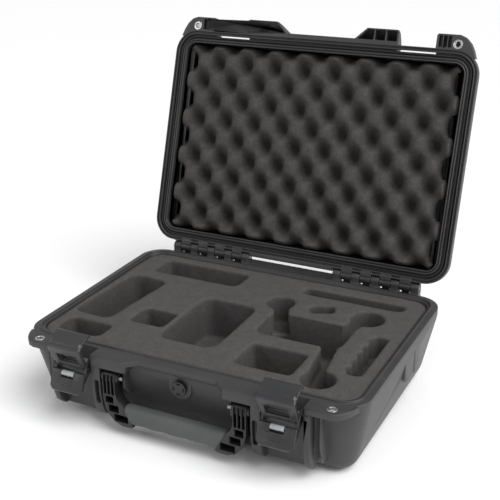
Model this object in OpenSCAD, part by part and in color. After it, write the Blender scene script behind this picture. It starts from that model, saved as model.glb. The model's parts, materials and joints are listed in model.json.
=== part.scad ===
// Hard carrying case for a small camera drone: lidded shell, draw latches, folding handle, foams.
// X runs to the right of someone facing the front, -Y is the front, Z is up.
// The origin is the centre of the flat bottom. The lid is drawn open, resting on its stops.

/* [Shell] */
// Width of the case over its rim
case_w = 470; // [380:1:600]
// Depth of the case over its rim
case_d = 324; // [290:1:420]
// Height of the base up to the face where the lid meets it
base_h = 106; // [98:1:150]
// Height of the closed lid above that face
lid_h = 66; // [50:1:100]
// Thickness of the moulded walls
wall = 4; // [3:0.5:5]
// Radius of the rim's corners seen from above
rim_r = 34; // [30:1:44]
// Radius of the edge round the bottom and the top
edge_r = 26; // [20:1:32]
// How far the inside walls lie in from the rim's edge, without their thickness
rim_out = 9; // [7:1:12]
// How far the walls lean in between the rim and the rounded edge
draft = 6; // [3:1:9]
// Thickness of each half's rim
rim_t = 12; // [10:1:16]
// Gap between the two rims when the case is shut
seam = 0.4; // [0.3:0.1:0.8]

/* [Lid hinge] */
// How far the hinge axis lies behind the rim
hinge_back = 8; // [8:0.5:12]
// How far the hinge axis lies above the base's rim
hinge_up = 7; // [6:0.5:9]
// Radius of the hinge knuckles
knuckle_r = 7; // [6:0.5:7.5]
// Radius of the steel hinge pins
hinge_pin_r = 2.5; // [2:0.25:3]
// Angle from shut to fully open
lid_open = 108; // [95:1:115]

/* [Latches] */
// Distance from the middle of the case to the middle of a latch
latch_x = 144.5; // [140:0.5:150]
// Width of a latch
latch_w = 48; // [40:1:52]
// Radius of the latch pins
latch_pin_r = 2.5; // [2:0.25:3]
// How far a lever hangs open at rest, in degrees
lever_rest = 15; // [10:1:16]
// Travel of the release buttons
button_travel = 2.5; // [1.5:0.5:3.5]

/* [Handle] */
// Distance from the middle of the case to the middle of a handle arm
arm_x = 91; // [86:1:95]
// Width of a handle arm
arm_w = 24; // [20:1:26]
// Length of the soft grip
grip_len = 120; // [100:1:130]
// Radius of the handle pins
handle_pin_r = 3; // [2.5:0.25:3.5]

/* [Padlock eyes] */
// Distance from the middle of the case to a padlock eye
eye_x = 202; // [200:1:206]
// Radius of the hole for a padlock's shackle
eye_bore_r = 3.75; // [3:0.25:4.2]

/* [Foams] */
// Thickness of the flat pad under the pocket foam
pad_t = 10; // [6:1:14]
// Depth of the pocket foam's top below the rim
foam_down = 2; // [1:0.5:6]
// Gap between a foam and the shell
foam_gap = 0.6; // [0.4:0.1:1.5]

/* [Hidden] */

run_gap = 0.06;                       // running clearance of a pin, on the radius
ov = 1;                               // how far a cutter passes the face that it cuts
arc_fn = 64;                          // facets a circle would have; exact arcs carry over

half_w = case_w / 2;
half_d = case_d / 2;
wall_w = half_w - rim_out;            // outer face of the side walls at the rim
wall_d = half_d - rim_out;
corner_r = rim_r - rim_out / 2;       // plan radius of the walls
ball_x = wall_w - draft - edge_r;     // centres of the rounded bottom corners
ball_y = wall_d - draft - edge_r;

tongue_in = 8;                        // tongue's outer face, in from the rim's edge
tongue_t = 3;
tongue_h = 2.2;
groove_gap = 2;                       // room beside the tongue on each side
groove_h = 6.5;
gasket_low = 2.7;                     // gasket's lower face above the base's rim, lid shut
lip_in = 18.5;                        // inner edge of the lid's rim, in from its outer edge
lip_t = 9;

ear_out = 20;                         // how far the padlock ears stand out in front
ear_t = 8;
lid_ear_t = 14;
ear_in_x = latch_x + latch_w / 2 + 3; // inner face of an ear, beside the latch
block_out = 18;                       // how far the brackets stand out in front of the rim
block_t = 14.5;                       // height of the solid block over a handle arm's slot
cheek_end_x = ear_in_x + 8;           // outer face of a bracket's outer cheek
rib_x = cheek_end_x + 8;              // thin rib past the channel in the outer cheek
slot_in_x = arm_x - arm_w / 2 - 1.5;  // the handle arm's slot
slot_out_x = arm_x + arm_w / 2 + 1.5;
bay_in_x = latch_x - latch_w / 2 - 3; // the latch's bay
bay_out_x = ear_in_x;
lip_out = 5;                          // how far the rim bulges between the two blocks

front = -half_d;
hinge_y = half_d + hinge_back;
hinge_z = base_h + hinge_up;
hinge_x0 = 68;                        // inner end of a hinge
lid_lugs_n = 4;                       // lid knuckles in a hinge, with a base knuckle at each side
base_lug = 12;                        // widths of the knuckles
lid_lug = 16.4;
lug_gap = 0.5;
lug_step = base_lug + lid_lug + 2 * lug_gap;
hinge_len = lid_lugs_n * lug_step + base_lug;
stop_drop = 12.2;                     // how far the lid's stop reaches below the axis when open
lid_back = hinge_y - 3;               // rear face of the lid's rim
rail_half = 2;                        // half the thickness of the rail behind the lid

lever_pin = [front - 9, base_h - 15];         // y, z of the pin in the base
claw_pin = lever_pin + [-7, -9];              // y, z of the pin in the lever, latch locked
claw_ratio = 2.5;                             // turn of a claw for each turn of its lever
claw_lean = claw_ratio * lever_rest;          // how far a claw leans out from its lever at rest
claw_pin_r = 2;
ear_gap = 3.6;                                // from a latch's side to its lever's cheek plate
cheek_t = 3.2;
bar_r = 3;                                    // the bar on the lid that a claw hooks over
bar = [front + 2.5, base_h + 9];              // y, z of that bar, lid shut
hook_room = 10;                              // back of the pocket behind that bar, in from the rim
button_w = 17;
button_h = 6;
spring_low = claw_pin[1] - 27.4;              // lower end of a button's spring
spring_turns = 6;
spring_rise = 2.6;                            // rise of one turn

handle_pin = [front - 12, base_h - 27];       // y, z of the handle's pivot
grip_z = 31.5;
grip_y = handle_pin[0];
grip_d = 20;
grip_h = 25;
arm_t = 16;
arm_body = arm_w - 6;                         // width of an arm below its pivot
rib_t = 1.6;

eye_y = front - 7;
eye_flange_r = 6.5;
eye_tube_r = 5.2;
eye_flange_t = 1.2;

valve_z = base_h - 28;
valve_bore_r = 6;
boss_out = 6;
boss_face = front + 1;                         // y of the valve boss's front face

foam_top = base_h - foam_down;
foam_bottom = wall + pad_t + 1;
lid_foam_down = 0.6;                          // lid foam's face above the rim plane, lid shut

// ---- shared shapes ----

// Flat rectangle with true round corners
module round_rect(w, d, r) {
    square([w - 2 * r, d], center = true);
    square([w, d - 2 * r], center = true);
    for (x = [-1, 1], y = [-1, 1]) translate([x * (w / 2 - r), y * (d / 2 - r)]) circle(r, $fn = arc_fn);
}

module rim_plate(inset, z0, z1) {
    translate([0, 0, z0]) linear_extrude(z1 - z0)
        round_rect(case_w - 2 * inset, case_d - 2 * inset, max(rim_r - inset, 2));
}

// Outline of points [y, z], carried along X from x0 to x1
module along_x(x0, x1) {
    translate([x0, 0, 0]) rotate([90, 0, 90]) linear_extrude(x1 - x0) children();
}

module rod_x(x0, x1, yz, r) {
    translate([x0, yz[0], yz[1]]) rotate([0, 90, 0]) cylinder(h = x1 - x0, r = r, $fn = arc_fn);
}

module box(low, high) { translate(low) cube(high - low); }

module both_sides() { children(); mirror([1, 0, 0]) children(); }

// Right-hand piece as drawn, or its mirror image on the left
module on_side(side) { if (side > 0) children(); else mirror([1, 0, 0]) children(); }

// Tub with rounded bottom edges, standing on z = 0; inset moves every face inwards
module tub(inset, top) {
    hull() {
        for (x = [-1, 1], y = [-1, 1]) {
            translate([x * ball_x, y * ball_y, edge_r]) sphere(edge_r - inset, $fn = 40);
            translate([x * (wall_w - corner_r), y * (wall_d - corner_r), top - 1])
                cylinder(h = 1, r = corner_r - inset, $fn = 40);
        }
    }
}

// Outside of a half: the tub's rounded bottom, with walls that run flush into the rim
module skin(top) {
    hull() {
        for (x = [-1, 1], y = [-1, 1]) {
            translate([x * ball_x, y * ball_y, edge_r]) sphere(edge_r, $fn = 44);
            translate([x * (half_w - rim_r), y * (half_d - rim_r), top - rim_t - 4])
                cylinder(h = rim_t - 2, r = rim_r - 1, $fn = 44);
        }
    }
}

// The lid is drawn shut and then swung open about the hinge
module lid_place() {
    translate([0, hinge_y, hinge_z]) rotate([-lid_open, 0, 0]) translate([0, -hinge_y, -hinge_z])
        children();
}

// The inside of the lid's rounded box, drawn shut
module lid_tub(inset, overlap) {
    translate([0, 0, base_h + lid_h]) mirror([0, 0, 1]) tub(inset, lid_h + overlap);
}

module lever_place() {
    translate([0, lever_pin[0], lever_pin[1]]) rotate([-lever_rest, 0, 0])
        translate([0, -lever_pin[0], -lever_pin[1]]) children();
}

module claw_place() {
    lever_place() translate([0, claw_pin[0], claw_pin[1]]) rotate([claw_lean, 0, 0])
        translate([0, -claw_pin[0], -claw_pin[1]]) children();
}

// ---- base ----

// Bracket beside the handle and round the latch, seen from the side
module bracket_outline() {
    polygon([[front + 14, 14], [front - 3, 16], [front - block_out + 6, 25], [front - block_out + 2, 36],
             [front - block_out, 60], [front - block_out, base_h], [front + 14, base_h]]);
}

module ear_outline() {
    polygon([[ear_in_x, front + 2], [ear_in_x, front - ear_out + 2], [ear_in_x + 2, front - ear_out],
             [eye_x + 2, front - ear_out], [eye_x + 10, front - ear_out + 3],
             [eye_x + 17, front - ear_out + 10],
             [half_w - rim_r + 23, front - 1], [half_w - rim_r + 27, front + 10]]);
}

// The front edge between the latches: two blocks and the low bulge that joins them
module front_outline(out, inset) {
    end = bay_in_x - inset;
    low = max(lip_out - inset, 0.5);
    polygon([[-end, front + 4], [-end, front - out + 2], [2 - end, front - out], [-70 - inset, front - out],
             [-53 - inset, front - low], [53 + inset, front - low], [70 + inset, front - out],
             [end - 2, front - out], [end, front - out + 2], [end, front + 4]]);
}

module brackets() {
    difference() {
        union() {
            along_x(slot_out_x, cheek_end_x) bracket_outline();
            // inner cheek, thin and set back
            along_x(slot_in_x - 4, slot_in_x) polygon([[front + 14, 50], [front + 2, 52], [front - 9, 64],
                                                       [front - 9, base_h - 2], [front + 14, base_h - 2]]);
            // thin rib past the outer cheek's channel, and the channel's floor
            along_x(rib_x, rib_x + 2) polygon([[front + 14, 22], [front - 4, 36], [front - 9, 50],
                                               [front - 9, base_h - 2], [front + 14, base_h - 2]]);
            along_x(cheek_end_x - ov, rib_x + ov)
                polygon([[front + 14, 18], [front - 1, 26], [front - 3, 40], [front - 3, base_h - 2],
                         [front + 14, base_h - 2]]);
            // bulge round the end of the latch's pin
            rod_x(ear_in_x + ov, cheek_end_x - ov, [front - block_out + 3, base_h - 13], 4.5);
        }
        // bay that the latch lies in, open above and below
        box([bay_in_x, front - 40, -ov], [bay_out_x, front + 2, base_h + ov]);
        channel((slot_out_x + bay_in_x) / 2 - 4.2, 6.4, 8, 38, 72);
    }
}

// Upright channel in the brackets' front, with round ends
module channel(x, w, deep, z0, z1) {
    translate([x, front - block_out + deep, 0]) rotate([90, 0, 0]) linear_extrude(deep + ov) {
        translate([0, z0 + w / 2]) square([w, z1 - z0 - w]);
        for (z = [z0 + w / 2, z1 - w / 2]) translate([w / 2, z]) circle(w / 2, $fn = arc_fn);
    }
}

// Broad upright pad on a side wall, split by a groove
module side_pad(z0, z1) {
    difference() {
        translate([half_w - 30, 0, 0]) rotate([90, 0, 90]) linear_extrude(28)
            polygon([[2, z0 + 8], [10, z0], [54, z0 - 2], [60, z0 + 6], [60, z1], [2, z1]]);
        box([half_w - 5, 38, z0 - 4], [half_w, 41, z1 + ov]);
    }
}

module base_lugs() {
    for (i = [0:lid_lugs_n]) {
        x0 = hinge_x0 + i * lug_step;
        rod_x(x0, x0 + base_lug, [hinge_y, hinge_z], knuckle_r);
        along_x(x0, x0 + base_lug) polygon([
            [half_d - 6, base_h - rim_t], [hinge_y, base_h - rim_t], [hinge_y + knuckle_r, hinge_z - 6],
            [hinge_y + knuckle_r, hinge_z], [hinge_y - knuckle_r, hinge_z], [hinge_y - knuckle_r, base_h],
            [half_d - 6, base_h]]);
    }
    // ledge that the open lid's stops rest on
    along_x(hinge_x0, hinge_x0 + hinge_len) polygon([
        [wall_d - 6, base_h - 30], [half_d + 2, base_h - 22], [hinge_y + 7, hinge_z - stop_drop - 9],
        [hinge_y + 7, hinge_z - stop_drop - 0.3], [half_d - 4, hinge_z - stop_drop - 0.3]]);
}

// Shelf and low rail behind the lid, between the two hinges
module base_rail() {
    along_x(-hinge_x0, hinge_x0) polygon([
        [half_d - 6, base_h - rim_t], [hinge_y + rail_half, base_h - rim_t + 4],
        [hinge_y + rail_half, hinge_z - 2],
        [hinge_y - rail_half, hinge_z - 2], [hinge_y - rail_half, base_h - 1], [half_d - 6, base_h - 1]]);
}

module valve_boss() {
    translate([0, boss_face + boss_out, valve_z]) rotate([90, 0, 0]) linear_extrude(boss_out) {
        circle(16, $fn = arc_fn);
        translate([-16, 0]) square([32, 17]);
    }
}

module base_shell() color([0.22, 0.22, 0.235]) {
    difference() {
        union() {
            skin(base_h);
            rim_plate(0, base_h - rim_t, base_h);
            rim_plate(tongue_in, base_h - ov, base_h + tongue_h);
            translate([0, 0, base_h - block_t / 2]) linear_extrude(block_t / 2) front_outline(ear_out, 0);
            translate([0, 0, base_h - block_t]) linear_extrude(block_t) difference() {
                front_outline(ear_out, 0);
                translate([-66, front - 60]) square([132, 70]);
            }
            both_sides() {
                brackets();
                translate([0, 0, base_h - ear_t]) linear_extrude(ear_t) ear_outline();
                side_pad(54, base_h - 2);
                base_lugs();
            }
            base_rail();
            valve_boss();
        }
        tub(wall, base_h + 12);
        // inside of the tongue
        rim_plate(tongue_in + tongue_t, base_h, base_h + tongue_h + ov);
        both_sides() {
            // slot that the handle's arm folds down into, open below
            box([slot_in_x, front - 40, 40], [slot_out_x, front + 4, base_h - block_t]);
            // notch in the rim that the claw swings through
            box([bay_in_x, front - 40, base_h - 30], [bay_out_x, front + 2, base_h + ov]);
            rod_x(bay_in_x - 8, bay_out_x + 7, lever_pin, latch_pin_r);
            rod_x(slot_in_x - 4 - ov, slot_out_x + 5, handle_pin, handle_pin_r);
            rod_x(hinge_x0 - ov, hinge_x0 + hinge_len + ov, [hinge_y, hinge_z], hinge_pin_r);
            eye_hole(base_h - ear_t, base_h);
        }
        translate([0, front + 30, valve_z]) rotate([90, 0, 0])
            cylinder(h = 60, r = valve_bore_r, $fn = arc_fn);
    }
}

// Stepped hole for a padlock eye; its flange lies in the face at z1
module eye_hole(z0, z1) {
    translate([eye_x, eye_y, z0 - ov]) cylinder(h = z1 - z0 + 2 * ov, r = eye_tube_r, $fn = arc_fn);
    translate([eye_x, eye_y, z1 - eye_flange_t])
        cylinder(h = eye_flange_t + ov, r = eye_flange_r, $fn = arc_fn);
}

module eye(z0, z1) {
    translate([eye_x, eye_y, 0]) difference() {
        union() {
            translate([0, 0, z0]) cylinder(h = z1 - z0, r = eye_tube_r, $fn = arc_fn);
            translate([0, 0, z1 - eye_flange_t]) cylinder(h = eye_flange_t, r = eye_flange_r, $fn = arc_fn);
        }
        translate([0, 0, z0 - ov]) cylinder(h = z1 - z0 + 2 * ov, r = eye_bore_r, $fn = arc_fn);
    }
}

module eye_base(side) color("silver") on_side(side) eye(base_h - ear_t, base_h);

module hinge_pin(side) color("silver") on_side(side)
    rod_x(hinge_x0, hinge_x0 + hinge_len, [hinge_y, hinge_z], hinge_pin_r);

// ---- pressure valve in the front wall ----

valve_back = front + rim_out + draft / 2 + wall - 1;

module valve_body() color([0.16, 0.16, 0.17]) {
    difference() {
        union() {
            translate([0, boss_face - 1.2, valve_z]) rotate([90, 0, 0])
                cylinder(h = 3, r = 10, $fn = arc_fn);
            translate([0, valve_back, valve_z]) rotate([90, 0, 0])
                cylinder(h = valve_back - boss_face + 1.5, r = valve_bore_r, $fn = arc_fn);
        }
        // vent slots round the face, and the passage behind them
        for (a = [0, 90, 180, 270]) translate([0, boss_face - 4.3, valve_z]) rotate([0, a, 0])
            box([6, -ov, -2.5], [7.6, 2, 2.5]);
        translate([0, valve_back + ov, valve_z]) rotate([90, 0, 0])
            cylinder(h = valve_back - boss_face + ov, r = 3.5, $fn = arc_fn);
    }
}

module valve_seal() color("black") translate([0, boss_face, valve_z]) rotate([90, 0, 0])
    linear_extrude(1.2) difference() {
        circle(9, $fn = arc_fn);
        circle(valve_bore_r, $fn = arc_fn);
    }

module valve_membrane() color("white") translate([0, boss_face + 1, valve_z]) rotate([90, 0, 0])
    cylinder(h = 0.6, r = 3.5, $fn = arc_fn);

// ---- lid ----

// Side view of the lid's front blocks, shrunk by inset for the pockets inside them
module block_profile(inset) {
    out = ear_out + 1;
    low = base_h + seam;
    if (inset == 0)
        polygon([[front + 12, low], [front - out, low], [front - out, low + 7], [front - out + 3, low + 14],
                 [front - 10, low + 21], [front, low + 26], [front + 12, low + 32]]);
    else
        polygon([[front - 1.5, low - ov], [front - out + 2, low - ov], [front - out + 2, low + 5],
                 [front - out + 5, low + 11], [front - 9, low + 17], [front - 1.5, low + 20]]);
}

// One of the lid's hollow front blocks; its pockets open towards the base
module lid_block() {
    difference() {
        intersection() {
            translate([0, 0, base_h]) linear_extrude(40) front_outline(ear_out + 1, 0);
            along_x(51, bay_in_x) block_profile(0);
        }
        for (x = [55, 82.5, 99.5]) intersection() {
            translate([0, 0, base_h - ov]) linear_extrude(40) front_outline(ear_out - 1, 1.6);
            along_x(x, x + (x < 60 ? 25.5 : 15)) block_profile(2);
        }
    }
}

// Pockets in a lid ear, open towards the base; a boss stays round the padlock eye
module ear_pockets() {
    low = base_h + seam;
    for (x = [ear_in_x + 3, ear_in_x + 9.5, ear_in_x + 16])
        box([x, front - ear_out + 2.5, low - ov], [x + 5, front - 2, low + 9]);
}

module lid_lugs() {
    for (i = [0:lid_lugs_n - 1]) {
        x0 = hinge_x0 + base_lug + lug_gap + i * lug_step;
        rod_x(x0, x0 + lid_lug, [hinge_y, hinge_z], knuckle_r);
        along_x(x0, x0 + lid_lug) polygon([
            [half_d - 6, base_h + seam], [half_d + 1, base_h + seam], [hinge_y, hinge_z - knuckle_r + 1],
            [hinge_y + 5, hinge_z + 4], [half_d + 3, base_h + rim_t + 2], [half_d - 6, base_h + rim_t]]);
        // stop, which points down at the base's ledge once the lid is open
        translate([0, hinge_y, hinge_z]) rotate([lid_open, 0, 0])
            box([x0 + 3, -2, -stop_drop], [x0 + lid_lug - 3, 6, 0]);
    }
}

// Ring in the lid's mating face, from a to b in from the rim's edge
module face_ring(a, b, z0, z1) {
    difference() {
        rim_plate(a, z0, z1);
        rim_plate(b, z0 - ov, z1 + ov);
    }
}

module lid_panel() {
    top = base_h + lid_h;
    for (x = [-1, 1]) {
        box([x * 150 - 6, -90, top - 3], [x * 150 + 6, 90, top + 2]);
        box([x * 60 - 6, -90, top - 3], [x * 60 + 6, 90, top + 2]);
    }
    for (y = [-1, 1]) box([-156, y * 84 - 6, top - 3], [156, y * 84 + 6, top + 2]);
}

module lid_shell() color([0.2, 0.2, 0.21]) lid_place() {
    low = base_h + seam;
    difference() {
        union() {
            translate([0, 0, base_h + lid_h]) mirror([0, 0, 1]) skin(lid_h);
            rim_plate(0, low, base_h + rim_t);
            // the rim reaches further back beside the hinges
            box([-hinge_x0 - hinge_len, half_d - 20, low],
                [hinge_x0 + hinge_len, lid_back, base_h + rim_t]);
            translate([0, 0, low]) linear_extrude(7) front_outline(lip_out, 0);
            both_sides() {
                translate([0, 0, low]) linear_extrude(lid_ear_t - seam) ear_outline();
                lid_block();
            }
            lid_panel();
        }
        difference() {
            lid_tub(wall, 12);
            face_ring(rim_out, lip_in, low - 2 * ov, base_h + lip_t);
        }
        // groove for the gasket and the base's tongue, and the two grooves beside it
        face_ring(tongue_in - groove_gap, tongue_in + tongue_t + groove_gap, base_h - ov, base_h + groove_h);
        face_ring(1.8, 4.2, base_h - ov, base_h + 3.4);
        face_ring(15, 16.6, base_h - ov, base_h + 2.4);
        both_sides() {
            // room for the base's knuckles
            for (i = [0:lid_lugs_n]) {
                x0 = hinge_x0 + i * lug_step - lug_gap;
                rod_x(x0, x0 + base_lug + 2 * lug_gap, [hinge_y, hinge_z], knuckle_r + 0.5);
                box([x0, hinge_y - knuckle_r - 0.5, base_h - ov],
                    [x0 + base_lug + 2 * lug_gap, hinge_y + 9, hinge_z]);
            }
            // pocket behind the bar, which a claw's hook drops into from above
            box([bay_in_x - 2, front - 30, base_h + 5], [bay_out_x, front + hook_room, base_h + 40]);
            ear_pockets();
            translate([0, 0, 2 * base_h + seam]) mirror([0, 0, 1])
                eye_hole(base_h - lid_ear_t + seam, base_h);
        }
    }
    both_sides() difference() {
        union() {
            lid_lugs();
            // bar that the claw hooks over
            rod_x(bay_in_x - 3, bay_out_x + ov, bar, bar_r);
        }
        rod_x(hinge_x0, hinge_x0 + hinge_len, [hinge_y, hinge_z], hinge_pin_r + run_gap);
    }
}

module lid_gasket() color([0.08, 0.08, 0.08]) lid_place()
    face_ring(tongue_in, tongue_in + tongue_t, base_h + gasket_low, base_h + groove_h);

module eye_lid(side) color("silver") lid_place() on_side(side)
    translate([0, 0, 2 * base_h + seam]) mirror([0, 0, 1]) eye(base_h - lid_ear_t + seam, base_h);

// ---- latches, drawn locked and then let go ----

cheek_x = latch_w / 2 - ear_gap;      // inner face of a lever's cheek, from the latch's middle

module lever_cheek() {
    difference() {
        hull() {
            translate(lever_pin) circle(6, $fn = 48);
            translate(claw_pin) circle(5.6, $fn = 48);
            translate(claw_pin + [-4.6, -14]) circle(2, $fn = 24);
        }
        translate([claw_pin[0] - 30 - 4.6, claw_pin[1] - 5]) square([30, 30]);
    }
}

module lever_plate() {
    p = claw_pin;
    polygon([[p[0] - 4.6, p[1] - 5], [p[0] - 9.6, p[1] - 5], [p[0] - 10.6, p[1] - 14],
             [p[0] - 11.4, p[1] - 25], [p[0] - 13.4, p[1] - 31], [p[0] - 10.8, p[1] - 33],
             [p[0] - 6.5, p[1] - 24], [p[0] - 4.6, p[1] - 12]]);
}

module button_slot(w, h, z0) {
    box([-w / 2, claw_pin[0] - 14, z0], [w / 2, claw_pin[0] - 6.2, z0 + h]);
}

module lever(side) color([0.24, 0.24, 0.25]) on_side(side) lever_place() translate([latch_x, 0, 0]) {
    difference() {
        union() {
            along_x(-latch_w / 2, latch_w / 2) lever_plate();
            for (x = [-cheek_x - cheek_t, cheek_x]) along_x(x, x + cheek_t) lever_cheek();
            // raised grip ribs below the button
            for (i = [0:3])
                rod_x(-8.5, 8.5, [claw_pin[0] - 10.4 - 0.26 * i, claw_pin[1] - 15.5 - 3.3 * i], 1.1);
        }
        rod_x(-latch_w, latch_w, lever_pin, latch_pin_r + run_gap);
        rod_x(-latch_w, latch_w, claw_pin, claw_pin_r);
        button_slot(button_w + 1, 20, claw_pin[1] - 5 - button_h - button_travel - 0.5);
        translate([0, claw_pin[0] - 7.4, spring_low - 0.6]) cylinder(h = 16, r = 1.8, $fn = arc_fn);
        // rounded lower corners
        for (x = [-1, 1]) translate([x * latch_w / 2, claw_pin[0], claw_pin[1] - 33]) rotate([0, 45, 0])
            cube([9, 60, 9], center = true);
    }
}

module claw_outline() {
    p = claw_pin;
    h = bar[1] + bar_r + 0.4 - p[1];   // underside of the hook above the pin
    back = bar[0] + bar_r + 0.6 - p[0];
    translate(p) {
        circle(4.2, $fn = arc_fn);
        polygon([[-4.2, 0], [0.8, 0], [0.8, h - 4], [3, h], [back - 0.4, h], [back, h - 1.8],
                 [back + 2, h - 1.8],
                 [back + 2, h + 2], [back, h + 3.4], [2.4, h + 3.4], [1.2, h + 1.4], [-2.6, h + 1.4],
                 [-4.2, h - 1]]);
    }
}

module claw(side) color([0.26, 0.26, 0.27]) on_side(side) claw_place() translate([latch_x, 0, 0]) {
    side_x = cheek_x - 0.4;
    cut_w = latch_w / 2 + ov - side_x;
    difference() {
        union() {
            along_x(-latch_w / 2, latch_w / 2) claw_outline();
            for (x = [-1, 1]) box([x * 14.5 - 1.5, claw_pin[0], claw_pin[1] + 8],
                                  [x * 14.5 + 1.5, claw_pin[0] + 3.6, bar[1]]);
        }
        // room for the lever's cheeks
        for (x = [-latch_w / 2 - ov, side_x])
            along_x(x, x + cut_w) polygon([[claw_pin[0] - 20, claw_pin[1] - 10],
                [claw_pin[0] + 20, claw_pin[1] - 10], [claw_pin[0] + 20, claw_pin[1] + 13],
                [claw_pin[0] - 0.5, claw_pin[1] + 13], [claw_pin[0] - 3, claw_pin[1] + 8],
                [claw_pin[0] - 20, claw_pin[1] + 8]]);
        // window
        box([-16, claw_pin[0] - 20, claw_pin[1] + 10.5], [14, claw_pin[0] + 20, claw_pin[1] + 25]);
        rod_x(-latch_w, latch_w, claw_pin, claw_pin_r + run_gap);
        // rounded top corners
        for (x = [-1, 1]) translate([x * latch_w / 2, claw_pin[0], bar[1] + bar_r + 3.8]) rotate([0, 45, 0])
            cube([5, 14, 5], center = true);
    }
}

module latch_pin(side) color("silver") on_side(side)
    rod_x(bay_in_x - 8, bay_out_x + 7, lever_pin, latch_pin_r);

module claw_pin_rod(side) color("silver") on_side(side) lever_place()
    rod_x(latch_x - cheek_x - cheek_t, latch_x + cheek_x + cheek_t, claw_pin, claw_pin_r);

module button(side) color([0.62, 0.64, 0.64]) on_side(side) lever_place() translate([latch_x, 0, 0]) {
    z0 = claw_pin[1] - 5 - button_h;
    along_x(-button_w / 2, button_w / 2) polygon([
        [claw_pin[0] - 6.6, z0], [claw_pin[0] - 10.6, z0], [claw_pin[0] - 12.6, z0 + 2],
        [claw_pin[0] - 12.2, z0 + button_h - 2], [claw_pin[0] - 10, z0 + button_h],
        [claw_pin[0] - 6.6, z0 + button_h]]);
    translate([0, claw_pin[0] - 7.4, z0 - 2]) cylinder(h = 3, r = 0.8, $fn = arc_fn);
}

// Helix point i of the spring's wire: centre radius r, rise per turn, sides of the wire
function wire(i, s, r, w, rise, steps, sides) = let (a = 360 * i / steps, b = 360 * s / sides)
    [(r + w * cos(b)) * cos(a), (r + w * cos(b)) * sin(a), rise * i / steps + w * sin(b)];

module spring(r, w, rise, turns) {
    steps = 12;
    sides = 6;
    n = steps * turns;
    polyhedron(
        points = [for (i = [0:n], s = [0:sides - 1]) wire(i, s, r, w, rise, steps, sides)],
        faces = concat(
            [for (i = [0:n - 1], s = [0:sides - 1]) let (t = (s + 1) % sides)
                [i * sides + s, i * sides + t, (i + 1) * sides + t, (i + 1) * sides + s]],
            [[for (s = [sides - 1:-1:0]) s]],
            [[for (s = [0:sides - 1]) n * sides + s]]));
}

module button_spring(side) color("silver") on_side(side) lever_place()
    translate([latch_x, claw_pin[0] - 7.4, spring_low]) spring(1.3, 0.25, spring_rise, spring_turns);

// ---- handle ----

// An arm seen from the front: upright, then bent in to a point under the grip's end
module arm_outline() {
    in_x = arm_x - arm_body / 2;
    out_x = arm_x + arm_body / 2;
    g = grip_len / 2;
    polygon([[in_x, handle_pin[1]], [in_x, 60], [in_x - 2, 53], [g + 14, 46], [g + 6, 36], [g, 24],
             [g - 3, 18],
             [g, 16], [g + 14, 15.5], [g + 24, 19], [out_x - 8, 27], [out_x - 3, 37], [out_x, 50],
             [out_x, handle_pin[1]]]);
}

module arm_prism(grow) {
    translate([0, handle_pin[0] + arm_t / 2 + grow, 0]) rotate([90, 0, 0])
        linear_extrude(arm_t + 2 * grow) arm_outline();
}

// Pocket in an arm's front face, between x0 and x1, z0 and z1
module arm_pocket(x0, x1, z0, z1, deep) {
    box([x0, handle_pin[0] - arm_t / 2 - 3, z0], [x1, handle_pin[0] - arm_t / 2 + deep, z1]);
}

module handle_arm() {
    in_x = arm_x - arm_body / 2;
    step = (arm_body - rib_t) / 3;
    difference() {
        union() {
            arm_prism(0);
            rod_x(in_x, in_x + arm_body, handle_pin, arm_t / 2);
            rod_x(arm_x - arm_w / 2, arm_x + arm_w / 2, handle_pin, 5.8);
        }
        rod_x(arm_x - arm_w, arm_x + arm_w, handle_pin, handle_pin_r + run_gap);
        // three upright pockets between thin ribs, deeper below the pivot
        for (i = [0:2]) {
            arm_pocket(in_x + rib_t + i * step, in_x + (i + 1) * step, 57, handle_pin[1] + 5, 4.2);
            arm_pocket(in_x + rib_t + i * step, in_x + (i + 1) * step, 57, handle_pin[1] - 7, 13);
        }
        // pockets in the bent part
        arm_pocket(in_x + 3, in_x + arm_body - 3.4, 45, 54.5, 12);
        arm_pocket(in_x - 4, in_x + arm_body - 7.4, 33, 43, 12);
        arm_pocket(grip_len / 2 + 5, in_x + 3, 21, 31, 12);
    }
}

module grip_core() {
    translate([-grip_len / 2 - ov, grip_y, grip_z]) rotate([90, 0, 90])
        linear_extrude(grip_len + 2 * ov) round_rect(10, 13, 4);
}

module handle_frame() color([0.1, 0.1, 0.1]) union() {
    both_sides() handle_arm();
    grip_core();
}

// The grip's ends are cut to fit the bent arms
module handle_grip() color([0.36, 0.38, 0.38]) difference() {
    translate([-grip_len / 2 - 12, grip_y, grip_z]) rotate([90, 0, 90])
        linear_extrude(grip_len + 24) round_rect(grip_d, grip_h, 9);
    grip_core();
    both_sides() {
        arm_prism(grip_d);
        box([grip_len / 2 - ov, grip_y - grip_d, 0], [grip_len, grip_y + grip_d, 24]);
    }
}

module handle_pin_rod(side) color("silver") on_side(side)
    rod_x(slot_in_x - 4, slot_out_x + 5, handle_pin, handle_pin_r);

// ---- foams ----

module base_pad() color([0.2, 0.19, 0.19]) translate([0, 0, wall + 0.5]) linear_extrude(pad_t)
    round_rect(2 * ball_x + 6, 2 * ball_y + 6, 12);

module pocket(x, y, w, d, deep, r, turn = 0) {
    translate([x, y, foam_top - deep]) rotate([0, 0, turn]) linear_extrude(deep + ov) round_rect(w, d, r);
}

module well(x, y, r, deep) {
    translate([x, y, foam_top - deep]) cylinder(h = deep + ov, r = r, $fn = arc_fn);
}

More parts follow.
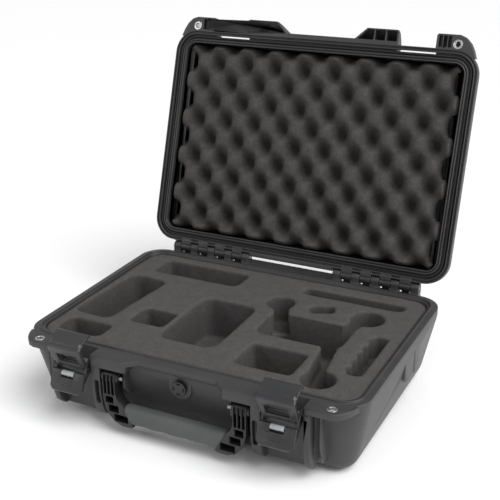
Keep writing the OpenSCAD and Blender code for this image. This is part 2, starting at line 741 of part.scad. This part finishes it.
module pocket_foam() color([0.3, 0.29, 0.28]) difference() {
    intersection() {
        tub(wall + foam_gap, base_h + 6);
        box([-half_w, -half_d, foam_bottom], [half_w, half_d, foam_top]);
    }
    pocket(-182, -8, 60, 140, 50, 14, -4);      // controller
    pocket(-172, -112, 66, 36, 45, 8);          // cables
    pocket(-104, -50, 52, 44, 45, 8);           // strap
    pocket(-118, 108, 140, 46, 30, 10);         // propellers
    pocket(-30, -30, 82, 132, 62, 16);          // goggles
    pocket(88, -88, 78, 58, 45, 6);             // battery
    pocket(119, 115, 150, 20, 22, 8);           // tube
    pocket(92, 68, 34, 22, 40, 5, 25);          // small charger
    // drone: body, arms and motor wells
    pocket(95, 2, 120, 66, 60, 16);
    pocket(146, -58, 20, 90, 34, 8, 8);
    pocket(148, 44, 20, 50, 34, 8, -16);
    pocket(42, 44, 20, 46, 34, 8, 20);
    well(160, -110, 22, 42);
    well(158, 66, 23, 42);
    well(32, 64, 20, 42);
    // spare battery slot with finger notches
    pocket(194, -30, 20, 108, 35, 6);
    for (i = [-2:2]) well(186, -30 + 20 * i, 7, 35);
}

// The lid's foam is held behind the inner lip of the lid's rim
module lid_foam() color([0.26, 0.25, 0.25]) lid_place() intersection() {
    lid_tub(wall + foam_gap, 8);
    union() {
        rim_plate(lip_in + foam_gap, base_h + lid_foam_down, base_h + lip_t + 3);
        rim_plate(0, base_h + lip_t + foam_gap, base_h + lid_h);
    }
}

base_shell();
lid_shell();
lid_gasket();
hinge_pin(-1);  // hinge_pin_left
hinge_pin(1);  // hinge_pin_right
lever(-1);  // lever_left
lever(1);  // lever_right
claw(-1);  // claw_left
claw(1);  // claw_right
latch_pin(-1);  // latch_pin_left
latch_pin(1);  // latch_pin_right
claw_pin_rod(-1);  // claw_pin_left
claw_pin_rod(1);  // claw_pin_right
button(-1);  // button_left
button(1);  // button_right
button_spring(-1);  // button_spring_left
button_spring(1);  // button_spring_right
handle_frame();
handle_grip();
handle_pin_rod(-1);  // handle_pin_left
handle_pin_rod(1);  // handle_pin_right
eye_base(-1);  // eye_base_left
eye_base(1);  // eye_base_right
eye_lid(-1);  // eye_lid_left
eye_lid(1);  // eye_lid_right
valve_body();
valve_seal();
valve_membrane();
base_pad();
pocket_foam();
lid_foam();
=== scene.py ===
"""Looks of the drone carrying case: softened shells, egg-crate and cut foams, latches, grip and gasket."""
import json
import math

import bmesh
import bpy
import numpy as np
from mathutils import Matrix, Vector

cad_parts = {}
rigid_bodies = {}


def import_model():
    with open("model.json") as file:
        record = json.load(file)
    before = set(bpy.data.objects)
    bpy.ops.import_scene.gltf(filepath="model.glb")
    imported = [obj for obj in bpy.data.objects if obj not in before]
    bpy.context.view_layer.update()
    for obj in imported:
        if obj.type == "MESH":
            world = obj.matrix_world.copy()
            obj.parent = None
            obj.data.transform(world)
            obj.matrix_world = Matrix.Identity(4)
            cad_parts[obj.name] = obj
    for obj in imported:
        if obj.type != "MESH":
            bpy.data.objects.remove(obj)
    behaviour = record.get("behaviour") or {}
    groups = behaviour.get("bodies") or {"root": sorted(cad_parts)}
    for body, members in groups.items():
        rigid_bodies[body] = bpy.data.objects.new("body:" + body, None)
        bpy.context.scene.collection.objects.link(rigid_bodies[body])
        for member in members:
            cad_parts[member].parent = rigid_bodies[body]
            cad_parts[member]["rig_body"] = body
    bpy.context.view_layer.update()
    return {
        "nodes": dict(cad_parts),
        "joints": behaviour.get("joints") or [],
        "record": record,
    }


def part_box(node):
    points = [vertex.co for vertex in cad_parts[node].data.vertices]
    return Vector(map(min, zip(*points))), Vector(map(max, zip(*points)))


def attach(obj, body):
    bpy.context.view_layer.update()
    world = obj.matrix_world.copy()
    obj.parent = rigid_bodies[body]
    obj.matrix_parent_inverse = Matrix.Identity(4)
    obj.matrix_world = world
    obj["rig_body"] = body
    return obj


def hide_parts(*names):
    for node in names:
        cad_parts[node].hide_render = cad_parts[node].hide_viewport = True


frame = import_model()
record = frame["record"]
nodes = frame["nodes"]
scene = bpy.context.scene

# ---------------------------------------------------------------- camera

CAMERA_AT = Vector((0.5413, -1.0488, 0.6810))
CAMERA_TO = Vector((-0.1400, 0.3140, 0.0600))
CAMERA_ROLL = math.radians(-0.6)
CAMERA_LENS = 70.15

# ---------------------------------------------------------------- looks that are given

ROOM_LIGHT = 0.55                        # strength of the even light from all round
SKY_POWER = 2.1                          # the broad light above, which comes from SKY_FROM
SKY_FROM = (0.62, -0.22, 1.0)
SKY_WIDTH = math.radians(40)
FLOOR_HALF = 20.0


def make_camera():
    """Looks from CAMERA_AT to CAMERA_TO, with its right-hand side turned up by CAMERA_ROLL."""
    ahead = (CAMERA_TO - CAMERA_AT).normalized()
    level = ahead.cross(Vector((0, 0, 1))).normalized()
    right = Matrix.Rotation(-CAMERA_ROLL, 3, ahead) @ level
    up = right.cross(ahead)
    data = bpy.data.cameras.new("camera")
    data.lens = CAMERA_LENS
    data.sensor_width = 36
    camera = bpy.data.objects.new("camera", data)
    camera.matrix_world = Matrix.Translation(CAMERA_AT) @ Matrix((right, up, -ahead)).transposed().to_4x4()
    scene.collection.objects.link(camera)
    scene.camera = camera


# ---------------------------------------------------------------- light and floor

def area_light(name, at, to, size, power):
    data = bpy.data.lights.new(name, "AREA")
    data.shape = "RECTANGLE"
    data.size, data.size_y = size
    data.energy = power
    lamp = bpy.data.objects.new(name, data)
    lamp.location = at
    lamp.rotation_euler = (Vector(to) - Vector(at)).to_track_quat("-Z", "Y").to_euler()
    scene.collection.objects.link(lamp)


def make_light():
    world = bpy.data.worlds.new("studio")
    scene.world = world
    world.use_nodes = True
    background = world.node_tree.nodes["Background"]
    background.inputs["Color"].default_value = (1.0, 1.0, 1.0, 1)
    background.inputs["Strength"].default_value = ROOM_LIGHT
    sun = bpy.data.lights.new("sky_panel", "SUN")
    sun.energy = SKY_POWER
    sun.angle = SKY_WIDTH
    lamp = bpy.data.objects.new("sky_panel", sun)
    lamp.rotation_euler = Vector(SKY_FROM).to_track_quat("Z", "Y").to_euler()
    scene.collection.objects.link(lamp)
    area_light("right_softbox", (1.5, -0.1, 0.7), (0.2, 0, 0.1), (0.7, 1.2), 9)
    area_light("left_softbox", (-1.3, -1.3, 0.9), (0, 0, 0.2), (0.6, 0.9), 5)
    scene.view_settings.view_transform = "Standard"


def make_floor():
    """A pale square floor that reaches past every view."""
    corners = [(FLOOR_HALF * x, FLOOR_HALF * y, 0) for x, y in ((-1, -1), (1, -1), (1, 1), (-1, 1))]
    mesh = bpy.data.meshes.new("floor")
    mesh.from_pydata(corners, [], [(0, 1, 2, 3)])
    floor = bpy.data.objects.new("floor", mesh)
    scene.collection.objects.link(floor)
    material, _ = new_material("floor_paper", (0.92, 0.92, 0.925), 0.7)
    mesh.materials.append(material)


# ---------------------------------------------------------------- shader effects

def effect_group(name, inputs, outputs):
    """An empty node group with float inputs {name: default} and float outputs; gives its tree and both ends."""
    tree = bpy.data.node_groups.new(name, "ShaderNodeTree")
    for label, value in inputs.items():
        tree.interface.new_socket(label, in_out="INPUT", socket_type="NodeSocketFloat").default_value = value
    for label in outputs:
        tree.interface.new_socket(label, in_out="OUTPUT", socket_type="NodeSocketFloat")
    return tree, tree.nodes.new("NodeGroupInput"), tree.nodes.new("NodeGroupOutput")


def add(tree, kind, values=None, **settings):
    """Adds a node with its settings, and its inputs set by {name or number: value or output socket}."""
    node = tree.nodes.new(kind)
    for key, value in settings.items():
        setattr(node, key, value)
    for key, value in (values or {}).items():
        if isinstance(value, bpy.types.NodeSocket):
            tree.links.new(value, node.inputs[key])
        else:
            node.inputs[key].default_value = value
    return node


def math_node(tree, operation, a, b=0.0):
    return add(tree, "ShaderNodeMath", {0: a, 1: b}, operation=operation).outputs[0]


def ramp(tree, value, low, high, to_low=0.0, to_high=1.0):
    node = add(tree, "ShaderNodeMapRange", {"Value": value, "From Min": low, "From Max": high,
                                            "To Min": to_low, "To Max": to_high})
    return node.outputs["Result"]


def moulded_grain():
    """Spark-eroded plastic: a fine pebble height and a slow cloudy tone, both from 0 to 1."""
    tree, start, end = effect_group("moulded_grain", {"Grain Size": 900.0, "Cloud Size": 9.0}, ("Height", "Tone"))
    place = add(tree, "ShaderNodeTexCoord").outputs["Object"]
    pebble = add(tree, "ShaderNodeTexVoronoi", {"Vector": place, "Scale": start.outputs["Grain Size"]})
    fine = add(tree, "ShaderNodeTexNoise", {"Vector": place, "Scale": start.outputs["Grain Size"], "Detail": 3.0})
    cloud = add(tree, "ShaderNodeTexNoise", {"Vector": place, "Scale": start.outputs["Cloud Size"], "Detail": 5.0,
                                             "Roughness": 0.6})
    height = math_node(tree, "ADD", math_node(tree, "MULTIPLY", pebble.outputs["Distance"], 0.6),
                       math_node(tree, "MULTIPLY", fine.outputs["Fac"], 0.4))
    tree.links.new(height, end.inputs["Height"])
    tree.links.new(ramp(tree, cloud.outputs["Fac"], 0.3, 0.7), end.inputs["Tone"])
    return tree


def foam_cells():
    """Foam: a height of small open cells with crumbs, and a tone of painted shade that follows that height, dark in
    the cells and between the crumbs.
    """
    tree, start, end = effect_group("foam_cells", {"Cell Size": 700.0, "Crumb Size": 120.0}, ("Height", "Tone"))
    place = add(tree, "ShaderNodeTexCoord").outputs["Object"]
    cell = add(tree, "ShaderNodeTexVoronoi", {"Vector": place, "Scale": start.outputs["Cell Size"]},
               feature="F1")
    crumb = add(tree, "ShaderNodeTexNoise", {"Vector": place, "Scale": start.outputs["Crumb Size"], "Detail": 8.0,
                                             "Roughness": 0.75})
    holes = ramp(tree, cell.outputs["Distance"], 0.1, 0.6)
    lumps = ramp(tree, crumb.outputs["Fac"], 0.3, 0.7)
    height = math_node(tree, "ADD", math_node(tree, "MULTIPLY", holes, 0.55),
                       math_node(tree, "MULTIPLY", lumps, 0.45))
    tree.links.new(height, end.inputs["Height"])
    # Tone is painted shade: the same holes and lumps as the height, so low places come out dark and raised places
    # light.
    tree.links.new(math_node(tree, "MULTIPLY", math_node(tree, "ADD", holes, lumps), 0.5), end.inputs["Tone"])
    return tree


def scuffs():
    """Handling marks: thin stretched streaks that show only here and there, from 0 to 1."""
    tree, start, end = effect_group("scuffs", {"Streak Size": 60.0}, ("Mask",))
    place = add(tree, "ShaderNodeTexCoord").outputs["Object"]
    turned = add(tree, "ShaderNodeMapping", {"Vector": place, "Rotation": (0.3, 0.5, 0.7), "Scale": (1, 0.12, 1)})
    streak = add(tree, "ShaderNodeTexNoise", {"Vector": turned.outputs["Vector"], "Detail": 6.0, "Roughness": 0.7,
                                              "Scale": start.outputs["Streak Size"]})
    patch = add(tree, "ShaderNodeTexNoise", {"Vector": place, "Scale": 6.0, "Detail": 2.0})
    mask = math_node(tree, "MULTIPLY", ramp(tree, streak.outputs["Fac"], 0.6, 0.74),
                     ramp(tree, patch.outputs["Fac"], 0.5, 0.66))
    tree.links.new(mask, end.inputs["Mask"])
    return tree


# ---------------------------------------------------------------- materials

def new_material(name, color, roughness):
    material = bpy.data.materials.new(name)
    material.use_nodes = True
    shader = material.node_tree.nodes["Principled BSDF"]
    shader.inputs["Base Color"].default_value = (*color, 1)
    shader.inputs["Roughness"].default_value = roughness
    return material, shader


def mixed(tree, factor, a, b):
    """Colour that goes from a to b with the factor."""
    node = add(tree, "ShaderNodeMix", {"Factor": factor}, data_type="RGBA")
    colors = [s for s in node.inputs if s.type == "RGBA"]
    for socket, value in zip(colors, (a, b)):
        if isinstance(value, bpy.types.NodeSocket):
            tree.links.new(value, socket)
        else:
            socket.default_value = (*value, 1)
    return [s for s in node.outputs if s.type == "RGBA"][0]


def bumped(tree, shader, height, depth):
    """Feeds a height from 0 to 1, depth metres deep, to the shader's normal."""
    bump = add(tree, "ShaderNodeBump", {"Height": height, "Distance": depth, "Strength": 1.0})
    tree.links.new(bump.outputs["Normal"], shader.inputs["Normal"])


def plastic(name, dark, light, rough, grain_size, grain_depth, scuffed=0.3):
    """Moulded plastic between two tones, with grain and scuffs."""
    material, shader = new_material(name, dark, rough[0])
    tree = material.node_tree
    grain = add(tree, "ShaderNodeGroup", node_tree=GRAIN)
    grain.inputs["Grain Size"].default_value = grain_size
    marks = add(tree, "ShaderNodeGroup", node_tree=SCUFFS)
    body = mixed(tree, grain.outputs["Tone"], dark, light)
    worn = mixed(tree, math_node(tree, "MULTIPLY", marks.outputs["Mask"], scuffed), body,
                 tuple(min(1, c * 2.2) for c in light))
    tree.links.new(worn, shader.inputs["Base Color"])
    tree.links.new(ramp(tree, grain.outputs["Tone"], 0, 1, rough[0], rough[1]), shader.inputs["Roughness"])
    bumped(tree, shader, grain.outputs["Height"], grain_depth)
    return material


def foam(name, dark, light, cell_size, depth):
    """Matt foam with painted shade in its cells, so the cells are darker than its face."""
    material, shader = new_material(name, dark, 0.95)
    tree = material.node_tree
    cells = add(tree, "ShaderNodeGroup", node_tree=CELLS)
    cells.inputs["Cell Size"].default_value = cell_size
    # Painted shade: the colour goes from dark in the cells to light on the face, following the cells' height.
    tree.links.new(mixed(tree, cells.outputs["Tone"], dark, light), shader.inputs["Base Color"])
    shader.inputs["Specular IOR Level"].default_value = 0.15
    bumped(tree, shader, cells.outputs["Height"], depth)
    return material


def steel(name, color, rough):
    """Drawn steel with fine streaks in its roughness."""
    material, shader = new_material(name, color, rough)
    tree = material.node_tree
    shader.inputs["Metallic"].default_value = 1.0
    marks = add(tree, "ShaderNodeGroup", node_tree=GRAIN)
    marks.inputs["Grain Size"].default_value = 1500.0
    tree.links.new(ramp(tree, marks.outputs["Height"], 0, 1, rough * 0.7, rough * 1.4),
                   shader.inputs["Roughness"])
    tree.links.new(mixed(tree, marks.outputs["Tone"], tuple(c * 0.85 for c in color), color),
                   shader.inputs["Base Color"])
    return material


# ---------------------------------------------------------------- meshes

def shown(name, mesh, material, body, slot, *replaced):
    """Makes the mesh a finished piece: its material, body and the CAD nodes that it stands for; the slot argument
    is not used.
    """
    piece = bpy.data.objects.new(name, mesh)
    scene.collection.objects.link(piece)
    mesh.materials.clear()
    mesh.materials.append(material)
    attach(piece, body)
    if replaced:
        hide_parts(*replaced)
    return piece


def smooth(mesh, angle=38):
    mesh.polygons.foreach_set("use_smooth", np.ones(len(mesh.polygons), bool))
    mesh.set_sharp_from_angle(angle=math.radians(angle))


def merged_copy(node):
    """The CAD node's mesh with its triangles joined into flat faces; a cut at x = 0 keeps rings from closing up."""
    bm = bmesh.new()
    bm.from_mesh(nodes[node].data)
    bmesh.ops.remove_doubles(bm, verts=bm.verts, dist=2e-6)
    cut = bmesh.ops.bisect_plane(bm, geom=bm.verts[:] + bm.edges[:] + bm.faces[:], dist=1e-6,
                                 plane_co=(0, 0, 0), plane_no=(1, 0, 0))
    for item in cut["geom_cut"]:
        if isinstance(item, bmesh.types.BMEdge):
            item.seam = True
    bmesh.ops.dissolve_limit(bm, angle_limit=math.radians(0.6), verts=bm.verts, edges=bm.edges,
                             delimit={"SEAM"})
    mesh = bpy.data.meshes.new(node + "_merged")
    bm.to_mesh(mesh)
    bm.free()
    return mesh


def with_modifiers(mesh, *settings):
    """The mesh after a stack of modifiers, each given as (kind, {setting: value})."""
    worker = bpy.data.objects.new("worker", mesh)
    scene.collection.objects.link(worker)
    for kind, values in settings:
        modifier = worker.modifiers.new(kind.lower(), kind)
        for key, value in values.items():
            setattr(modifier, key, value)
    bpy.context.view_layer.update()
    done = bpy.data.meshes.new_from_object(worker.evaluated_get(bpy.context.evaluated_depsgraph_get()))
    bpy.data.objects.remove(worker)
    return done


def softened(node, width, material):
    """The CAD node with every hard edge rounded over by a narrow bevel."""
    done = with_modifiers(merged_copy(node), ("BEVEL", {
        "width": width, "segments": 2, "limit_method": "ANGLE", "angle_limit": math.radians(30),
        "use_clamp_overlap": False, "miter_outer": "MITER_ARC"}))
    smooth(done)
    slot = next(s["material_slot"] for s in record["subparts"] if s["node"] == node)
    return shown(node + "_soft", done, material, nodes[node]["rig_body"], slot, node)


def grid_faces(rows, cols, wrap=False):
    """Quads of a grid of points stored row by row; wrap joins the last column to the first."""
    last = cols if wrap else cols - 1
    r, c = np.meshgrid(np.arange(rows - 1), np.arange(last), indexing="ij")
    d = (c + 1) % cols
    return np.stack([r * cols + c, r * cols + d, (r + 1) * cols + d, (r + 1) * cols + c], -1).reshape(-1, 4)


def surface(name, points, faces):
    """A smooth mesh of points (n, 3) and faces, with its faces turned outwards."""
    mesh = bpy.data.meshes.new(name)
    mesh.from_pydata(points, [], [tuple(int(i) for i in f) for f in faces])
    bm = bmesh.new()
    bm.from_mesh(mesh)
    bmesh.ops.recalc_face_normals(bm, faces=bm.faces)
    bm.to_mesh(mesh)
    bm.free()
    smooth(mesh, 60)
    return mesh


def own_points(node):
    """The CAD node's corners as an array (n, 3)."""
    co = np.zeros(len(nodes[node].data.vertices) * 3)
    nodes[node].data.vertices.foreach_get("co", co)
    return co.reshape(-1, 3)


JOINTS = {j["name"]: j for j in frame["joints"]}
HINGE = JOINTS["lid_hinge"]
LID_OPEN = math.radians(HINGE["range_deg"][1])


def lid_turned(points, angle):
    """Points turned about the lid's hinge; LID_OPEN shuts the open lid, and -LID_OPEN opens it."""
    _, y0, z0 = HINGE["pos_m"]
    y, z = points[:, 1] - y0, points[:, 2] - z0
    c, s = math.cos(angle), math.sin(angle)
    return np.stack([points[:, 0], y0 + c * y - s * z, z0 + s * y + c * z], -1)


def row_half_width(y, half_w, half_d, corner):
    """Half the width of a round-cornered rectangle at height y."""
    over = np.clip(np.abs(y) - (half_d - corner), 0, corner)
    return half_w - corner + np.sqrt(np.maximum(corner ** 2 - over ** 2, 0))


# Egg-crate foam: a staggered field of peaks CRATE_X apart in a row, with the next row half of CRATE_Y on
CRATE_X = 0.047
CRATE_Y = 0.058
CRATE_DEEP = 0.030
CRATE_SHARP = 1.7
CRATE_BACK = 0.052
CRATE_ROLL = 0.007                       # width of the border that rolls under, and how far under it goes
CRATE_UNDER = 0.011
CRATE_CORNER = 0.016
CRATE_GAP = 0.0006                       # between the foam and the lid's lip
CRATE_SET = 0.0007                       # the peaks lie this far behind the CAD block's face


def crate_foam():
    """Convoluted foam, CRATE_DEEP ((1 - w) / 2) ** CRATE_SHARP below its peaks; the border rolls under.

    w = cos(2 pi x / CRATE_X) cos(2 pi y / CRATE_Y)
    """
    shut = lid_turned(own_points("lid_foam"), LID_OPEN)
    low = shut.min(0)
    half_w, half_d, _ = shut[shut[:, 2] < low[2] + 0.001].max(0) - CRATE_GAP
    cols, rows = 361, 251
    v = np.linspace(-1, 1, rows)
    y = np.sign(v) * (1 - (1 - np.abs(v)) ** 1.15) * half_d
    across = row_half_width(y, half_w, half_d, CRATE_CORNER)
    x = np.linspace(-1, 1, cols)[None, :] * across[:, None]
    y = np.repeat(y[:, None], cols, 1)
    wave = np.cos(2 * np.pi * x / CRATE_X) * np.cos(2 * np.pi * y / CRATE_Y)
    inside = np.minimum(across[:, None] - np.abs(x), half_d - np.abs(y))
    under = (1 - np.clip(inside / CRATE_ROLL, 0, 1)) ** 2
    wander = 0.0006 * np.sin(61 * x + 2.0 * np.sin(43 * y)) * np.cos(53 * y + 1.7 * np.sin(37 * x))
    face = low[2] + CRATE_SET + CRATE_DEEP * ((1 - wave) / 2) ** CRATE_SHARP + CRATE_UNDER * under + wander
    front = np.stack([x, y, face], -1).reshape(-1, 3)
    back = np.stack([x * 0.97, y * 0.97, np.full_like(x, low[2] + CRATE_BACK)], -1).reshape(-1, 3)
    quads = grid_faces(rows, cols)
    n = rows * cols
    edge = np.concatenate([np.arange(cols), np.arange(1, rows) * cols + cols - 1,
                           n - 2 - np.arange(cols - 1), (rows - 2 - np.arange(rows - 2)) * cols])
    nxt = np.roll(edge, -1)
    skirt = np.stack([edge, nxt, nxt + n, edge + n], -1)
    points = lid_turned(np.concatenate([front, back]), -LID_OPEN)
    mesh = surface("crate_foam", points, np.concatenate([quads, quads[:, ::-1] + n, skirt]))
    piece = shown("crate_foam", mesh, CRATE, "lid", "lid_foam", "lid_foam")


def cut_foam(node, voxel, name):
    """A foam block whose cut edges are soft: the CAD block remeshed, relaxed and a little uneven."""
    mesh = with_modifiers(merged_copy(node),
                          ("REMESH", {"mode": "VOXEL", "voxel_size": voxel, "adaptivity": 0.0}),
                          ("SMOOTH", {"factor": 0.5, "iterations": 3}))
    co = np.zeros(len(mesh.vertices) * 3)
    mesh.vertices.foreach_get("co", co)
    normals = np.zeros(len(mesh.vertices) * 3)
    mesh.vertices.foreach_get("normal", normals)
    co, normals = co.reshape(-1, 3), normals.reshape(-1, 3)
    x, y, z = co.T
    uneven = np.sin(210 * x + 3 * np.sin(90 * y)) * np.sin(190 * y + 2 * np.sin(120 * z))
    uneven = uneven + np.sin(70 * x + 60 * y)
    co = co + normals * (0.00018 * uneven)[:, None]
    mesh.vertices.foreach_set("co", co.ravel())
    smooth(mesh, 60)
    piece = shown(name, mesh, POCKET, "base", "pocket_foam", node)


GRIP_UNDER = 0.81                        # the grip's length along its underside, as a part of its full length


def soft_grip():
    """Overmoulded grip: a superellipse about the X axis, with shallow finger waves; its ends slant in below."""
    low, high = (np.array(c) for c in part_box("handle_grip"))
    middle, half = (low + high) / 2, (high - low) / 2
    rows, cols = 121, 64
    t = np.linspace(-1, 1, rows)
    around = np.linspace(0, 2 * np.pi, cols, endpoint=False)
    roll = 0.006
    past = np.clip(np.abs(t) * half[0] - (half[0] - roll), 0, roll) / roll
    size = 1 - 0.12 * (1 - np.sqrt(1 - past ** 2))
    c, s = np.cos(around), np.sin(around)
    power = 2 / 2.7
    oy = np.sign(c) * np.abs(c) ** power * half[1]
    oz = np.sign(s) * np.abs(s) ** power * half[2]
    wave = 1 - 0.035 * (1 - np.cos(8 * np.pi * (t + 1) / 2)) * (np.abs(t) < 0.92)
    under = np.clip(-s, 0, 1)
    y = middle[1] + size[:, None] * oy[None, :]
    z = middle[2] + size[:, None] * oz[None, :] * (1 - (1 - wave[:, None]) * 1.6 * under[None, :])
    slant = GRIP_UNDER + (1 - GRIP_UNDER) * (z - low[2]) / (high[2] - low[2])
    x = middle[0] + t[:, None] * half[0] * slant
    rings = np.stack([x, y, z], -1).reshape(-1, 3)
    tip = half[0] * (1 + GRIP_UNDER) / 2
    poles = np.array([[-tip, middle[1], middle[2]], [tip, middle[1], middle[2]]])
    n = rows * cols
    i = np.arange(cols)
    caps = [(int(a), int(b), n) for a, b in zip(i, np.roll(i, -1))]
    caps += [(int(a), int(b), n + 1) for a, b in zip(n - cols + i, n - cols + np.roll(i, -1))]
    mesh = surface("soft_grip", np.concatenate([rings, poles]), list(grid_faces(rows, cols, wrap=True)) + caps)
    smooth(mesh, 50)
    shown("soft_grip", mesh, GRIP, "handle", "grip", "handle_grip")


def gasket_ring():
    """Rubber seal: an oval bead carried round the lid's groove."""
    shut = lid_turned(own_points("lid_gasket"), LID_OPEN)
    low, high = shut.min(0), shut.max(0)
    half_w, half_d = (high[0] - low[0]) / 2, (high[1] - low[1]) / 2
    bead, tall, corner, turn = 0.0015, (high[2] - low[2]) / 2, 0.026, 24
    a = np.linspace(0, np.pi / 2, turn)
    corners = []
    for k, (sx, sy) in enumerate(((1, 1), (-1, 1), (-1, -1), (1, -1))):
        angle = a + k * np.pi / 2
        middle = np.array([sx * (half_w - corner), sy * (half_d - corner)])
        corners.append(np.stack([middle[0] + (corner - bead) * np.cos(angle),
                                 middle[1] + (corner - bead) * np.sin(angle), np.cos(angle), np.sin(angle)], -1))
    path = np.concatenate(corners)
    b = np.linspace(0, 2 * np.pi, 16, endpoint=False)
    x = path[:, None, 0] + bead * np.cos(b) * path[:, None, 2]
    y = path[:, None, 1] + bead * np.cos(b) * path[:, None, 3]
    z = (low[2] + high[2]) / 2 + tall * np.sin(b)[None, :] + 0 * x
    points = lid_turned(np.stack([x, y, z], -1).reshape(-1, 3), -LID_OPEN)
    quads = grid_faces(len(path), 16, wrap=True)
    n = len(path)
    i = np.arange(16)
    join = np.stack([(n - 1) * 16 + i, (n - 1) * 16 + (i + 1) % 16, (i + 1) % 16, i], -1)
    mesh = surface("gasket_ring", points, np.concatenate([quads, join]))
    shown("gasket_ring", mesh, RUBBER, "lid", "gasket", "lid_gasket")


GRAIN = moulded_grain()
CELLS = foam_cells()
SCUFFS = scuffs()
SHELL = plastic("shell_plastic", (0.024, 0.0237, 0.0255), (0.036, 0.0355, 0.0375), (0.40, 0.52), 900.0, 0.00012)
LATCH = plastic("latch_plastic", (0.018, 0.0185, 0.020), (0.026, 0.0265, 0.028), (0.30, 0.42), 1400.0, 0.00005)
BLACK = plastic("black_plastic", (0.007, 0.007, 0.008), (0.012, 0.012, 0.013), (0.34, 0.46), 1200.0, 0.00006)
BUTTON = plastic("button_plastic", (0.30, 0.315, 0.315), (0.35, 0.365, 0.365), (0.4, 0.5), 1400.0, 0.00004, 0.1)
GRIP = plastic("grip_rubber", (0.060, 0.066, 0.062), (0.078, 0.085, 0.080), (0.62, 0.75), 1100.0, 0.00008, 0.15)
RUBBER = plastic("seal_rubber", (0.010, 0.010, 0.011), (0.016, 0.016, 0.017), (0.5, 0.6), 1500.0, 0.00004, 0.1)
# For each foam the first colour is painted shade down in the cells and the second the foam's lit face.
POCKET = foam("pocket_foam", (0.042, 0.0395, 0.039), (0.094, 0.088, 0.086), 650.0, 0.0005)
CRATE = foam("crate_foam", (0.030, 0.028, 0.027), (0.075, 0.070, 0.067), 520.0, 0.0006)
PIN = steel("pin_steel", (0.30, 0.30, 0.31), 0.38)
EYE = steel("eye_steel", (0.58, 0.58, 0.59), 0.26)
CLOTH = foam("vent_cloth", (0.5, 0.5, 0.48), (0.6, 0.6, 0.58), 2500.0, 0.0001)

make_camera()
make_light()
make_floor()
by_slot = {"shell": (SHELL, 0.0008), "latch_plastic": (LATCH, 0.0006), "black_plastic": (BLACK, 0.0006),
           "grip": (GRIP, 0.001), "button_plastic": (BUTTON, 0.0006), "gasket": (RUBBER, 0.0003),
           "membrane": (CLOTH, 0.0001), "steel": (PIN, 0), "eye_steel": (EYE, 0.0004),
           "pocket_foam": (POCKET, 0.001), "lid_foam": (CRATE, 0.001)}
crate_foam()
cut_foam("pocket_foam", 0.0025, "cut_foam")
cut_foam("base_pad", 0.005, "pad_foam")
soft_grip()
gasket_ring()
MADE = ("lid_foam", "pocket_foam", "base_pad", "handle_grip", "lid_gasket")
for entry in record["subparts"]:
    if entry["node"] in MADE:
        continue
    material, width = by_slot[entry["material_slot"]]
    if width:
        softened(entry["node"], width, material)
    else:
        nodes[entry["node"]].data.materials.clear()
        nodes[entry["node"]].data.materials.append(material)
